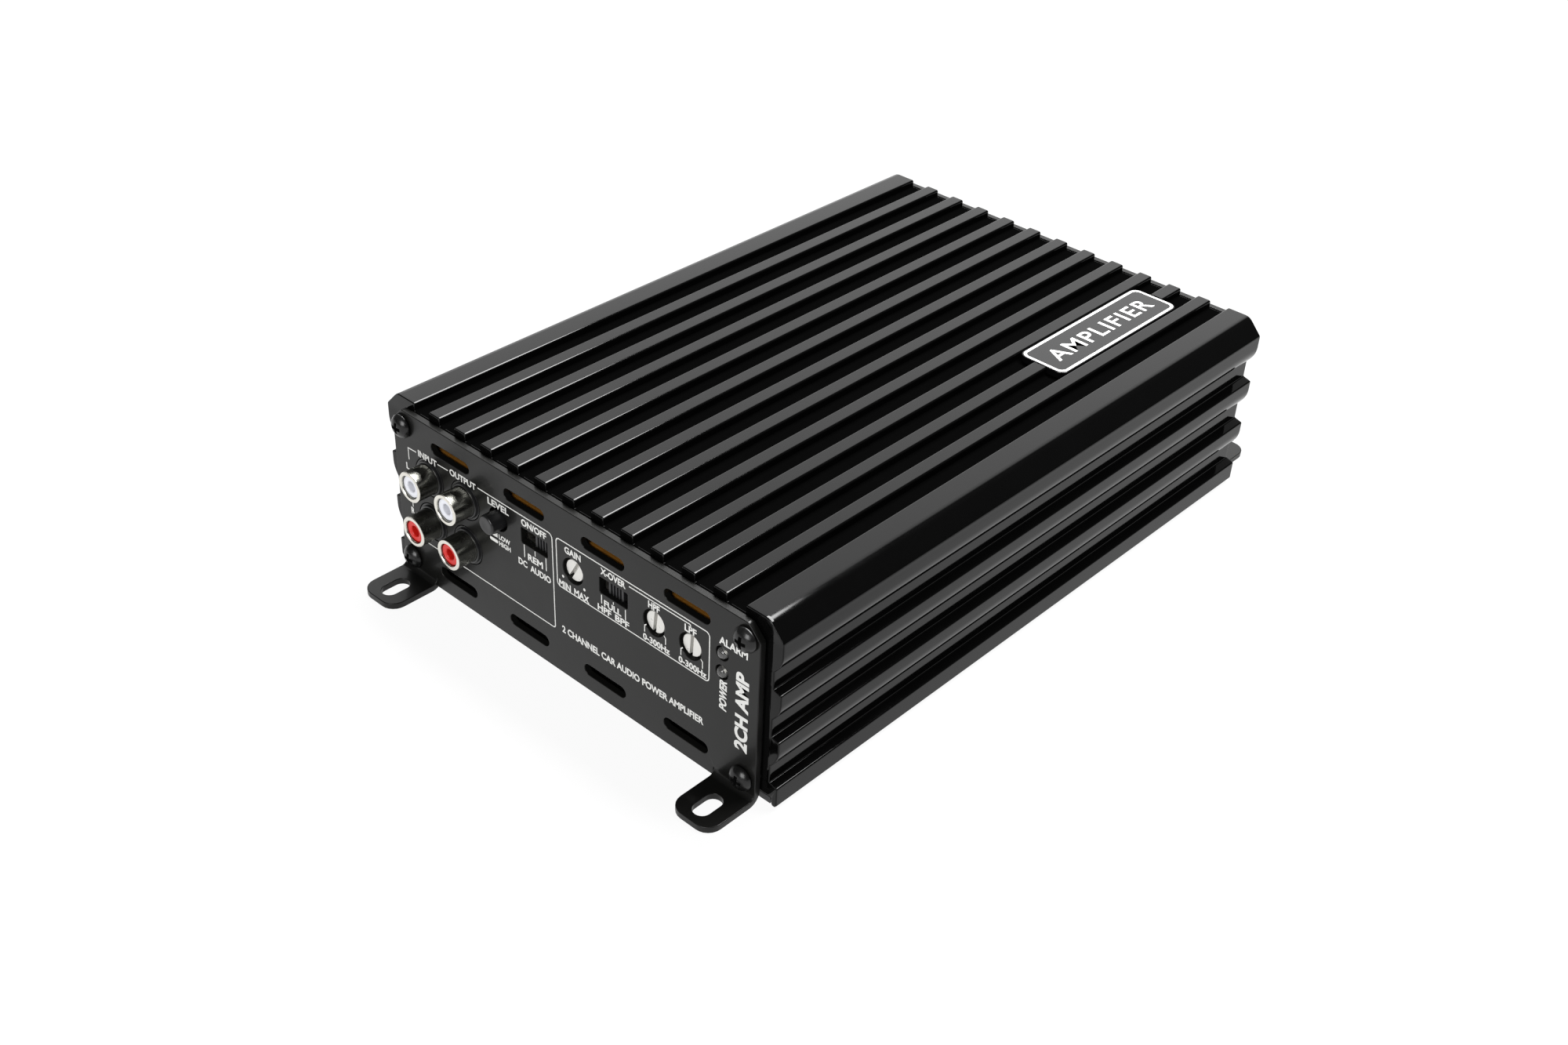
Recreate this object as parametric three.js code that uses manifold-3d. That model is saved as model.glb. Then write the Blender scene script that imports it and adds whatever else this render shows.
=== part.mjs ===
// Two-channel car amplifier: finned aluminium extrusion closed by two footed
// steel end plates and a bottom cover, with its jacks, controls, terminals and
// board. Millimetres. X along the control panel, Y from panel to rear, Z up.
// The origin is at the bottom centre: foot undersides are at Z = 0.
import * as THREE from 'three';
import { mergeVertices } from 'three/addons/utils/BufferGeometryUtils.js';
import Module from 'manifold-3d';

const wasm = await Module();
wasm.setup();

// ---- driving dimensions -------------------------------------------------
const GAP = 0.3;            // clearance between touching pieces
const SHEET = 1.8;          // end plate and cover thickness
const BODY_LEN = 193;       // extrusion length
const END = BODY_LEN / 2;   // extrusion end, from the middle
const PLATE_IN = END + GAP; // end plate inner face
const PLATE_OUT = PLATE_IN + SHEET;
const FOOT_REACH = 14.7;    // foot length beyond the plate face
const FOOT_X = [50.1, 62.9];
const SIDE = 67.6;          // half width over the ribs
const WALL = 65.2;          // half width in the side grooves
const INNER = 62.4;         // half width of the cavity
const TOP = 52.5;           // fin tops
const FLOOR = 50.3;         // groove floors between fins
const CEILING = 46.9;       // cavity ceiling
const PITCH = 9.747;        // fin pitch
const FIN_HALF = 2.12;      // half a fin's width
const FINS = 11;
const PLATE_HALF = 62.9;
const PLATE_TOP = 50.4;
const PLATE_LOW = 0.9;
const PLATE_CHAMFER = 3.7;
const RIB_TOPS = [6.6, 20.15, 33.7];
const SCREW_X = 58.9;
const SCREW_Z = [6.2, 46.0];
const VENT_X = [-40.8, -13.6, 13.6, 40.8];
const VENT_Z = [7.2, 44.6];
const VENT = [14.4, 3.2];
const JACK_X = [-49.6, -35.9];
const JACK_Z = [34.8, 21.4];
const JACK_OUT = 6.3;
const BUTTON = [-23.4, 35.5];
const MODE = [-10.3, 35.4];
const CROSS = [17.1, 35.4];
const WINDOW = [9.4, 4.4];
const LEVER = [5.0, 3.8];
const LEVER_STEP = 2.0;
const POTS = [['gain', 3.3, 30], ['highpass', 30.4, 6], ['lowpass', 42.0, 4]];
const POT_Z = 34.1;
const LED_X = 51.8;
const LED_Z = [37.8, 32.5];
const BOARD_Z = [41.0, 42.6];
const HANG = BOARD_Z[0] - GAP;
const FRONT = -PLATE_OUT;   // outer face of the control panel
const COVER_Z = [1.1, 2.9];
const COVER_SCREW = [59.5, 72];
const WAYS = 7;
const WAY_PITCH = 9.4;
const BLOCK_X = -14;
const BLOCK_Z = [18.6, 37.4];
const BADGE = [31.66, 46.31, 32.6, 86.9];   // badge plate: X and Y limits
const FUSE_X = [35, 45];
const FUSE_Z = 27;

// ---- helpers ------------------------------------------------------------
// Welds a geometry, drops empty triangles and turns it right side out.
function closed(geometry) {
  let g = geometry.index ? geometry.toNonIndexed() : geometry.clone();
  g.deleteAttribute('normal');
  g.deleteAttribute('uv');
  g = mergeVertices(g, 1e-4);
  const p = g.attributes.position.array;
  const kept = [];
  let volume = 0;
  for (let i = 0; i < g.index.count; i += 3) {
    const [a, b, c] = [0, 1, 2].map((k) => g.index.array[i + k]);
    if (a === b || b === c || c === a) continue;
    kept.push(a, b, c);
    const v = [a, b, c].map((k) => new THREE.Vector3(p[3 * k], p[3 * k + 1], p[3 * k + 2]));
    volume += v[0].dot(v[1].clone().cross(v[2]));
  }
  if (volume < 0) {
    for (let i = 0; i < kept.length; i += 3) {
      [kept[i], kept[i + 1]] = [kept[i + 1], kept[i]];
    }
  }
  g.setIndex(kept);
  return g;
}

function solid(geometry) {
  const g = closed(geometry);
  const mesh = new wasm.Mesh({
    numProp: 3,
    vertProperties: new Float32Array(g.attributes.position.array),
    triVerts: new Uint32Array(g.index.array),
  });
  return new wasm.Manifold(mesh);
}

function geometryOf(manifold) {
  const mesh = manifold.getMesh();
  const g = new THREE.BufferGeometry();
  g.setAttribute('position', new THREE.BufferAttribute(new Float32Array(mesh.vertProperties), 3));
  g.setIndex(Array.from(mesh.triVerts));
  return g;
}

// A box from its lowest and highest corners.
function box(x0, x1, y0, y1, z0, z1) {
  const g = new THREE.BoxGeometry(x1 - x0, y1 - y0, z1 - z0);
  g.translate((x0 + x1) / 2, (y0 + y1) / 2, (z0 + z1) / 2);
  return solid(g);
}

// A shape drawn in X and Z, extruded from y0 to y1.
function prism(shape, y0, y1, curveSegments = 8) {
  const g = new THREE.ExtrudeGeometry(shape, { depth: y1 - y0, bevelEnabled: false, curveSegments });
  g.rotateX(Math.PI / 2);
  g.translate(0, y1, 0);
  return solid(g);
}

function polygon(points) {
  return new THREE.Shape(points.map(([x, z]) => new THREE.Vector2(x, z)));
}

// A turned piece: pairs of [radius, y], about a line along Y through (x, z).
function turned(profile, x, z, segments = 24) {
  const g = new THREE.LatheGeometry(profile.map(([r, y]) => new THREE.Vector2(r, y)), segments);
  g.translate(x, 0, z);
  return solid(g);
}

function rod(r, x, z, y0, y1, segments = 24) {
  return turned([[0, y0], [r, y0], [r, y1], [0, y1]], x, z, segments);
}

// A turned piece about a line along Z through (x, y): pairs of [radius, z].
function turnedUp(profile, x, y, segments = 24) {
  const g = new THREE.LatheGeometry(profile.map(([r, z]) => new THREE.Vector2(r, z)), segments);
  g.rotateX(Math.PI / 2);
  g.translate(x, y, 0);
  return solid(g);
}

// An obround in X and Z.
function obround(cx, cz, length, height, y0, y1) {
  const r = height / 2;
  const half = length / 2 - r;
  const shape = new THREE.Shape();
  shape.moveTo(cx - half, cz - r);
  shape.lineTo(cx + half, cz - r);
  shape.absarc(cx + half, cz, r, -Math.PI / 2, Math.PI / 2, false);
  shape.lineTo(cx - half, cz + r);
  shape.absarc(cx - half, cz, r, Math.PI / 2, Math.PI * 1.5, false);
  return prism(shape, y0, y1, 3);
}

function union(pieces) {
  return pieces.reduce((a, b) => a.add(b));
}

function without(body, cuts) {
  return cuts.reduce((a, b) => a.subtract(b), body);
}

const group = new THREE.Group();
group.name = 'car_amplifier';

function piece(name, manifold, color, roughness, metalness) {
  const material = new THREE.MeshStandardMaterial({ color, roughness, metalness });
  const mesh = new THREE.Mesh(geometryOf(manifold), material);
  mesh.name = name;
  group.add(mesh);
}

// ---- heatsink extrusion -------------------------------------------------
function sideOutline() {
  // Right-hand outline from the bottom flange up to the top rail.
  const pts = [[55, 3.2], [66, 3.2], [66, 1.4], [66.4, 0.9], [67.1, 0.9], [SIDE, 1.5]];
  RIB_TOPS.forEach((top) => {
    pts.push([SIDE, top], [WALL, top + 0.7]);
    // The next rib or rail starts with a rounded lower corner.
    const low = top + 5.5;
    const curve = new THREE.QuadraticBezierCurve(
      new THREE.Vector2(WALL, low),
      new THREE.Vector2(SIDE, low + 2.5),
      new THREE.Vector2(SIDE, low + 5.3),
    );
    curve.getPoints(4).forEach((p) => pts.push([p.x, p.y]));
  });
  pts.push([SIDE, 48.0], [63.5, 52.3], [63.0, TOP]);
  return pts;
}

function topOutline() {
  // Fins and grooves from the right rail's inner edge to the left rail's.
  const pts = [];
  const f = 0.5;
  const rail = (FINS + 1) / 2 * PITCH - FIN_HALF;
  pts.push([rail + f, TOP], [rail, TOP - f], [rail, FLOOR]);
  for (let k = (FINS - 1) / 2; k >= -(FINS - 1) / 2; k -= 1) {
    const c = k * PITCH;
    const w = FIN_HALF;
    pts.push([c + w, FLOOR], [c + w, TOP - f], [c + w - f, TOP]);
    pts.push([c - w + f, TOP], [c - w, TOP - f], [c - w, FLOOR]);
  }
  pts.push([-rail, FLOOR], [-rail, TOP - f], [-rail - f, TOP]);
  return pts;
}

function cavityOutline() {
  // Right-hand inner outline from the ceiling down to the flange.
  return [[61.4, CEILING], [INNER, CEILING - 1], [INNER, 40.7], [59.6, 40.7], [59.6, 39.4],
    [INNER, 38.2], [INNER, 7.2], [60.8, 5.6], [55, 5.6]];
}

function mirrored(points) {
  return points.map(([x, z]) => [-x, z]).reverse();
}

const side = sideOutline();
const inside = cavityOutline();
const profile = polygon([...side, ...topOutline(), ...mirrored(side), ...mirrored(inside), ...inside]);
const bosses = [];
const bores = [];
[-1, 1].forEach((s) => {
  SCREW_Z.forEach((z) => {
    const boss = rod(2.6, s * SCREW_X, z, -END, END, 12);
    bosses.push(z < 20 ? boss.subtract(box(-80, 80, -END - 1, END + 1, 0, 3.2)) : boss);
    bores.push(rod(1.8, s * SCREW_X, z, -END - 1, -END + 14, 10));
    bores.push(rod(1.8, s * SCREW_X, z, END - 14, END + 1, 10));
  });
  [-1, 1].forEach((t) => {
    const hole = [[0, 2.5], [1.6, 2.5], [1.6, 11], [0, 11]];
    bores.push(turnedUp(hole, s * COVER_SCREW[0], t * COVER_SCREW[1], 10));
  });
});
// The badge plate fills two grooves, and the fin between them is milled away.
const [bx0, bx1, by0, by1] = BADGE;
bores.push(box(bx0 + 3, bx1 - 3, by0 - GAP, by1 + GAP, FLOOR, TOP + 5));
const heatsink = without(union([prism(profile, -END, END), ...bosses]), bores);
piece('heatsink', heatsink, 0x1c1c1e, 0.4, 0.6);

// ---- badge plate let into the fins ---------------------------------------
const badge = new THREE.Shape();
const br = 2.6;
badge.moveTo(bx0 + br, by0);
badge.lineTo(bx1 - br, by0);
badge.absarc(bx1 - br, by0 + br, br, -Math.PI / 2, 0, false);
badge.lineTo(bx1, by1 - br);
badge.absarc(bx1 - br, by1 - br, br, 0, Math.PI / 2, false);
badge.lineTo(bx0 + br, by1);
badge.absarc(bx0 + br, by1 - br, br, Math.PI / 2, Math.PI, false);
badge.lineTo(bx0, by0 + br);
badge.absarc(bx0 + br, by0 + br, br, Math.PI, Math.PI * 1.5, false);
const badgeBody = new THREE.ExtrudeGeometry(badge, { depth: TOP - FLOOR - GAP, bevelEnabled: false, curveSegments: 3 });
badgeBody.translate(0, 0, FLOOR + GAP);
piece('badge_plate', solid(badgeBody), 0x1e1e20, 0.4, 0.6);

// ---- end plates with feet -----------------------------------------------
// Built as the front plate, facing -Y; the rear plate is its mirror image.
function footedPlate() {
  const c = PLATE_CHAMFER;
  const w = PLATE_HALF;
  const outline = polygon([[-w, PLATE_LOW], [w, PLATE_LOW], [w, PLATE_TOP - c], [w - c, PLATE_TOP],
    [-w + c, PLATE_TOP], [-w, PLATE_TOP - c]]);
  let plate = prism(outline, -PLATE_OUT, -PLATE_IN);
  // Foot in side view: down the plate, round a bend, out along the ground.
  const arc = (cy, cz, r, from, to) => [0, 1, 2, 3, 4].map((i) => {
    const a = from + (to - from) * i / 4;
    return [cy + r * Math.cos(a), cz + r * Math.sin(a)];
  });
  const r = 1.6;
  const cy = -PLATE_OUT - r;
  const tip = -PLATE_OUT - FOOT_REACH;
  const foot = [...arc(cy, SHEET + r, r + SHEET, 0, -Math.PI / 2), [tip, 0], [tip, SHEET],
    ...arc(cy, SHEET + r, r, -Math.PI / 2, 0), [-PLATE_OUT, 9], [-PLATE_IN, 9]];
  [-1, 1].forEach((s) => {
    const [xa, xb] = FOOT_X.map((x) => s * x).sort((a, b) => a - b);
    // Drawn with Y as the shape's first axis, extruded along X.
    const g = new THREE.ExtrudeGeometry(polygon(foot), { depth: xb - xa, bevelEnabled: false });
    g.applyMatrix4(new THREE.Matrix4().set(0, 0, 1, xa, 1, 0, 0, 0, 0, 1, 0, 0, 0, 0, 0, 1));
    let lug = solid(g);
    // Rounded toe corners, cut from above.
    const toe = new THREE.Shape();
    const q = 4;
    toe.moveTo(xa, 0);
    toe.lineTo(xa, tip + q);
    toe.absarc(xa + q, tip + q, q, Math.PI, Math.PI * 1.5, false);
    toe.lineTo(xb - q, tip);
    toe.absarc(xb - q, tip + q, q, Math.PI * 1.5, Math.PI * 2, false);
    toe.lineTo(xb, 0);
    const mask = new THREE.ExtrudeGeometry(toe, { depth: 20, bevelEnabled: false, curveSegments: 2 });
    mask.translate(0, 0, -5);
    lug = lug.intersect(solid(mask));
    // Mounting slot along Y.
    const cx = (xa + xb) / 2;
    const slot = new THREE.Shape();
    slot.moveTo(cx + 2.3, tip + 4.5);
    slot.lineTo(cx + 2.3, tip + 8.0);
    slot.absarc(cx, tip + 8.0, 2.3, 0, Math.PI, false);
    slot.lineTo(cx - 2.3, tip + 4.5);
    slot.absarc(cx, tip + 4.5, 2.3, Math.PI, Math.PI * 2, false);
    const cut = new THREE.ExtrudeGeometry(slot, { depth: 20, bevelEnabled: false, curveSegments: 3 });
    cut.translate(0, 0, -5);
    plate = plate.add(lug.subtract(solid(cut)));
  });
  const cuts = [];
  const [a, b] = [-PLATE_OUT - 1, -PLATE_IN + 1];
  VENT_X.forEach((x) => cuts.push(obround(x, VENT_Z[1], VENT[0], VENT[1], a, b)));
  [-SCREW_X, SCREW_X].forEach((x) => SCREW_Z.forEach((z) => cuts.push(rod(2.1, x, z, a, b, 12))));
  return without(plate, cuts);
}

const CUT = [FRONT - 1, FRONT + SHEET + 1];
const frontCuts = [];
VENT_X.forEach((x) => frontCuts.push(obround(x, VENT_Z[0], VENT[0], VENT[1], ...CUT)));
JACK_X.forEach((x) => JACK_Z.forEach((z) => frontCuts.push(rod(5.4, x, z, ...CUT, 20))));
frontCuts.push(rod(3.3, ...BUTTON, ...CUT, 16));
[MODE, CROSS].forEach(([x, z]) => {
  const [w, h] = [WINDOW[0] / 2, WINDOW[1] / 2];
  frontCuts.push(box(x - w, x + w, ...CUT, z - h, z + h));
});
POTS.forEach(([, x]) => frontCuts.push(rod(3.5, x, POT_Z, ...CUT, 16)));
LED_Z.forEach((z) => frontCuts.push(rod(1.9, LED_X, z, ...CUT, 12)));
piece('front_plate', without(footedPlate(), frontCuts), 0x202022, 0.45, 0.3);

const half = WAYS * WAY_PITCH / 2 + 1.1;
const rearCuts = [
  box(BLOCK_X - half - 0.4, BLOCK_X + half + 0.4, PLATE_IN - 1, PLATE_OUT + 1,
    BLOCK_Z[0] - 0.4, BLOCK_Z[1] + 0.4),
];
FUSE_X.forEach((x) => rearCuts.push(
  box(x - 3.2, x + 3.2, PLATE_IN - 1, PLATE_OUT + 1, FUSE_Z - 10.2, FUSE_Z + 10.2)));
const rearPlate = without(footedPlate().mirror([0, 1, 0]), rearCuts);
piece('rear_plate', rearPlate, 0x202022, 0.45, 0.3);

// ---- bottom cover -------------------------------------------------------
const coverCuts = [];
[-1, 1].forEach((s) => [-1, 1].forEach((t) => {
  const sink = [[0, 0], [3.4, 0], [3.4, 1.4], [1.9, 2.9], [1.9, 4], [0, 4]];
  coverCuts.push(turnedUp(sink, s * COVER_SCREW[0], t * COVER_SCREW[1], 12));
}));
const cover = box(-65.6, 65.6, -END + 0.2, END - 0.2, ...COVER_Z);
piece('bottom_cover', without(cover, coverCuts), 0x222224, 0.5, 0.3);

// ---- case screws --------------------------------------------------------
function caseScrew(x, z) {
  // Button head on the panel side, with a cross recess.
  const f = FRONT - GAP;
  const body = turned([[0, f - 2.1], [2.2, f - 1.8], [3.3, f - 0.4], [3.3, f], [1.5, f],
    [1.5, f + 11.5], [0, f + 11.5]], x, z, 14);
  return without(body, [
    box(x - 1.5, x + 1.5, f - 3, f - 0.9, z - 0.35, z + 0.35),
    box(x - 0.35, x + 0.35, f - 3, f - 0.9, z - 1.5, z + 1.5),
  ]);
}
let index = 0;
SCREW_Z.slice().reverse().forEach((z) => [-SCREW_X, SCREW_X].forEach((x) => {
  index += 1;
  const screw = caseScrew(x, z);
  piece(`front_screw_${index}`, screw, 0x151515, 0.35, 0.8);
  piece(`rear_screw_${index}`, screw.mirror([0, 1, 0]), 0x151515, 0.35, 0.8);
}));
index = 0;
[-1, 1].forEach((s) => [-1, 1].forEach((t) => {
  index += 1;
  const [x, y] = [s * COVER_SCREW[0], t * COVER_SCREW[1]];
  const body = turnedUp([[0, 1.1], [3.0, 1.1], [1.3, 2.8], [1.3, 9.5], [0, 9.5]], x, y, 12);
  const recess = [
    box(x - 1.5, x + 1.5, y - 0.35, y + 0.35, 0, 1.9),
    box(x - 0.35, x + 0.35, y - 1.5, y + 1.5, 0, 1.9),
  ];
  piece(`cover_screw_${index}`, without(body, recess), 0x151515, 0.35, 0.8);
}));

// ---- circuit board, solder side up --------------------------------------
piece('main_board', box(-61, 61, -END + 0.7, END - 0.7, ...BOARD_Z), 0x9a6a24, 0.5, 0);

// ---- signal jacks -------------------------------------------------------
const jackFront = FRONT + SHEET + GAP;
const housing = [box(-57, -28.5, jackFront, jackFront + 12, 14.2, HANG)];
const sockets = [];
JACK_X.forEach((x) => JACK_Z.forEach((z) => {
  housing.push(rod(5.0, x, z, FRONT - 0.9, jackFront + 1, 20));
  sockets.push(rod(4.45, x, z, FRONT - 2, FRONT + 9, 20));
}));
piece('jack_housing', without(union(housing), sockets), 0x1a1a1a, 0.5, 0);
index = 0;
JACK_Z.forEach((z) => JACK_X.forEach((x) => {
  index += 1;
  const [a, b] = [FRONT - JACK_OUT, FRONT + 8.7];
  const shell = turned([[3.0, a], [4.0, a], [4.15, a + 0.15], [4.15, b], [3.0, b], [3.0, a]], x, z, 20);
  piece(`jack_shell_${index}`, shell, 0xd8d4c8, 0.25, 0.9);
  const color = z === JACK_Z[0] ? 0xf2f0ee : 0xc8201c;
  const insert = turned([[1.6, a + 0.5], [2.7, a + 0.5], [2.7, b], [0, b],
    [0, b - 4], [1.6, b - 4], [1.6, a + 0.5]], x, z, 14);
  piece(`jack_insert_${index}`, insert, color, 0.4, 0);
}));

// ---- level push switch --------------------------------------------------
const [bx, bz] = BUTTON;
const levelBody = box(bx - 4.2, bx + 4.2, FRONT + 4.5, FRONT + 17, 31.0, HANG);
const levelBore = rod(2.95, bx, bz, FRONT + 4, FRONT + 15, 16);
piece('level_switch', levelBody.subtract(levelBore), 0xb8b8b8, 0.4, 0.7);
const cap = turned([[0, FRONT - 3.9], [2.35, FRONT - 3.9], [2.65, FRONT - 3.6], [2.65, FRONT + 11.5],
  [0, FRONT + 11.5]], bx, bz, 16);
piece('level_button', cap, 0x161616, 0.35, 0);

// ---- slide switches -----------------------------------------------------
function slideSwitch(name, [x, z], rest) {
  const [w, h] = [LEVER[0] / 2, LEVER[1] / 2];
  const body = box(x - 8, x + 8, FRONT + SHEET + GAP, FRONT + 9, 31.2, HANG);
  const run = w + LEVER_STEP + 0.3;
  const slot = box(x - run, x + run, FRONT, FRONT + 7, z - h - 0.3, z + h + 0.3);
  piece(`${name}_switch`, body.subtract(slot), 0xb0b0b0, 0.4, 0.7);
  const c = x + rest;
  const lever = box(c - w, c + w, FRONT + 0.9, FRONT + 6.7, z - h, z + h);
  const grooves = [-1.2, 0, 1.2].map((d) => (
    box(c + d - 0.25, c + d + 0.25, FRONT, FRONT + 1.3, z - h - 1, z + h + 1)));
  piece(`${name}_lever`, without(lever, grooves), 0x141414, 0.4, 0);
}
slideSwitch('mode', MODE, LEVER_STEP);
slideSwitch('crossover', CROSS, 0);

// ---- rotary controls ----------------------------------------------------
POTS.forEach(([name, x, angle]) => {
  const body = box(x - 5, x + 5, FRONT + SHEET + GAP, FRONT + 11, 28.4, HANG);
  piece(`${name}_pot`, body.subtract(rod(3.25, x, POT_Z, FRONT, FRONT + 9.3, 16)), 0x8c8c8c, 0.4, 0.7);
  const shaft = turned([[0, FRONT + 0.5], [2.7, FRONT + 0.5], [2.9, FRONT + 0.7], [2.9, FRONT + 9],
    [0, FRONT + 9]], 0, 0, 18);
  const cut = box(-0.5, 0.5, FRONT, FRONT + 1.9, -4, 4);
  const slotted = shaft.subtract(cut.rotate([0, angle, 0])).translate([x, 0, POT_Z]);
  piece(`${name}_shaft`, slotted, 0xe8e6e0, 0.35, 0.2);
});

// ---- indicator lamps with their leads -----------------------------------
['alarm', 'power'].forEach((name, i) => {
  const z = LED_Z[i];
  const back = FRONT + 4.6 + 3 * i;
  const lens = turned([[0, FRONT - 0.9], [0.9, FRONT - 0.6], [1.4, FRONT + 0.1], [1.5, FRONT + 0.6],
    [1.5, back - 1], [1.75, back - 1], [1.75, back], [0, back]], LED_X, z, 12);
  const leads = [-1, 1].map((s) => (
    box(LED_X + s - 0.3, LED_X + s + 0.3, back - 0.6, back, z, HANG)));
  piece(`${name}_led`, union([lens, ...leads]), 0xdfe3e6, 0.15, 0);
});

// ---- rear terminal block ------------------------------------------------
const face = PLATE_OUT + 1;
const blockParts = [
  box(BLOCK_X - half, BLOCK_X + half, 84, face, ...BLOCK_Z),
  box(BLOCK_X - half, BLOCK_X + half, 84, PLATE_IN - 2, BLOCK_Z[1] - 1, HANG),
];
for (let i = 0; i <= WAYS; i += 1) {
  const x = BLOCK_X + (i - WAYS / 2) * WAY_PITCH;
  blockParts.push(box(x - 0.8, x + 0.8, face - 1, face + 8, ...BLOCK_Z));
}
const blockCuts = [];
for (let i = 0; i < WAYS; i += 1) {
  const x = BLOCK_X + (i - (WAYS - 1) / 2) * WAY_PITCH;
  blockCuts.push(rod(2.25, x, 28, 89, face + 1, 12));
}
piece('terminal_block', without(union(blockParts), blockCuts), 0x18181a, 0.5, 0);
for (let i = 0; i < WAYS; i += 1) {
  const x = BLOCK_X + (i - (WAYS - 1) / 2) * WAY_PITCH;
  const screw = turned([[0, 90], [1.9, 90], [1.9, face + 2], [3.5, face + 2], [3.5, face + 3.7],
    [3.1, face + 4.2], [0, face + 4.2]], x, 28, 14);
  const recess = [
    box(x - 2.2, x + 2.2, face + 3, face + 5, 28 - 0.45, 28 + 0.45),
    box(x - 0.45, x + 0.45, face + 3, face + 5, 28 - 2.2, 28 + 2.2),
  ];
  piece(`terminal_screw_${i + 1}`, without(screw, recess), 0xb9b4a4, 0.3, 0.9);
}

// ---- blade fuses and their socket ---------------------------------------
const socketCuts = [];
FUSE_X.forEach((x) => {
  socketCuts.push(box(x - 2.9, x + 2.9, 89.7, PLATE_IN, FUSE_Z - 9.9, FUSE_Z + 9.9));
  [-1, 1].forEach((s) => {
    const z = FUSE_Z + s * 6.4;
    socketCuts.push(box(x - 0.7, x + 0.7, 82.5, 90, z - 2.9, z + 2.9));
  });
});
const socket = box(29, 51, 81, PLATE_IN - GAP, 15.4, HANG);
piece('fuse_socket', without(socket, socketCuts), 0x1a1a1c, 0.5, 0);
FUSE_X.forEach((x, i) => {
  const parts = [
    box(x - 2.6, x + 2.6, 90, PLATE_OUT + 3.6, FUSE_Z - 9.1, FUSE_Z + 9.1),
    box(x - 2.0, x + 2.0, PLATE_OUT + 3, PLATE_OUT + 5.6, FUSE_Z - 9.6, FUSE_Z + 9.6),
  ];
  [-1, 1].forEach((s) => {
    const z = FUSE_Z + s * 6.4;
    parts.push(box(x - 0.35, x + 0.35, 83, 91, z - 2.6, z + 2.6));
  });
  piece(`fuse_${i + 1}`, union(parts), 0xd8a020, 0.25, 0);
});

// ---- power stage under the board ----------------------------------------
const ring = new THREE.TorusGeometry(13, 6, 8, 20);
ring.scale(1, 1, 1.1);
ring.translate(-22, 18, HANG - 6.9);
piece('toroid_coil', solid(ring), 0xb26a35, 0.35, 0.5);
const can = turnedUp([[0, 8.7], [8.3, 8.7], [9, 9.4], [9, HANG - 1.6], [8.5, HANG - 1.2],
  [9, HANG - 0.8], [9, HANG], [0, HANG]], 24, 22, 16);
piece('storage_capacitor', can, 0x2a3350, 0.4, 0);
index = 0;
[-1, 1].forEach((s) => {
  [-28, 8].forEach((y) => {
    index += 1;
    const [x0, x1] = [s * 57.6, s * 62.1].sort((a, b) => a - b);
    const parts = [box(x0, x1, y - 7.5, y + 7.5, 17, 36.4)];
    const [l0, l1] = [s * 58.0, s * 58.7].sort((a, b) => a - b);
    [-4, 0, 4].forEach((d) => parts.push(box(l0, l1, y + d - 0.5, y + d + 0.5, 36, HANG)));
    piece(`transistor_${index}`, union(parts), 0x1b1b1c, 0.5, 0);
  });
  const [c0, c1] = [s * 54.6, s * 57.3].sort((a, b) => a - b);
  const [f0, f1] = [s * 56.0, s * 62.1].sort((a, b) => a - b);
  const clamp = union([box(c0, c1, -38, 18, 21, 31), box(f0, f1, -17, -3, 21, 31)]);
  piece(s < 0 ? 'clamp_bar_left' : 'clamp_bar_right', clamp, 0x9a9ca0, 0.4, 0.8);
});

export default group;
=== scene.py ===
# A two-channel car amplifier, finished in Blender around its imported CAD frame.
# Shapes are drawn in millimetres in the CAD frame and turned into metres when
# each piece is made: X along the control panel, Y from panel to rear, Z up.
import math

import bmesh
import bpy
from mathutils import Matrix, Vector


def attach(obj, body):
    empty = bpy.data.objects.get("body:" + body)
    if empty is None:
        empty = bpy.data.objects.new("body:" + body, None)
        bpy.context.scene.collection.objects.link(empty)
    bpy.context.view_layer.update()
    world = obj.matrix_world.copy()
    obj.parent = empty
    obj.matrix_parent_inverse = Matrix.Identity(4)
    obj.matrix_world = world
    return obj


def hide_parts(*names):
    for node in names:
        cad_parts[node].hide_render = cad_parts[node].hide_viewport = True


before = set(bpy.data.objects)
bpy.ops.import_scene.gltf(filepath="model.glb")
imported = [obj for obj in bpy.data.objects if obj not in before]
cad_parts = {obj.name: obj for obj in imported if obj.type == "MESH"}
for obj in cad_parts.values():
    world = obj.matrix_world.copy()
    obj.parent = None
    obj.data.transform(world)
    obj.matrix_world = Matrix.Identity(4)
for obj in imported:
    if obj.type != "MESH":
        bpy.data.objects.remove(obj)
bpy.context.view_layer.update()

MM = 0.001
ROOT = "amplifier"
scene = bpy.context.scene
scene.view_settings.view_transform = "Standard"

# ---- camera ---------------------------------------------------------------
camera_data = bpy.data.cameras.new("camera")
camera_data.sensor_width = 36.0
camera_data.lens = 41.978
camera_data.clip_start = 0.01
camera_data.clip_end = 20.0
camera = bpy.data.objects.new("camera", camera_data)
# The solved view: its right, up and back axes, then its place in metres.
right = Vector((0.733193, 0.678883, 0.039332))
up = Vector((-0.413473, 0.399137, 0.818370))
back = right.cross(up)
camera.matrix_world = Matrix((
    (right.x, up.x, back.x, 0.264136),
    (right.y, up.y, back.y, -0.322734),
    (right.z, up.z, back.z, 0.289152),
    (0.0, 0.0, 0.0, 1.0),
))
scene.collection.objects.link(camera)
scene.camera = camera

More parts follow.
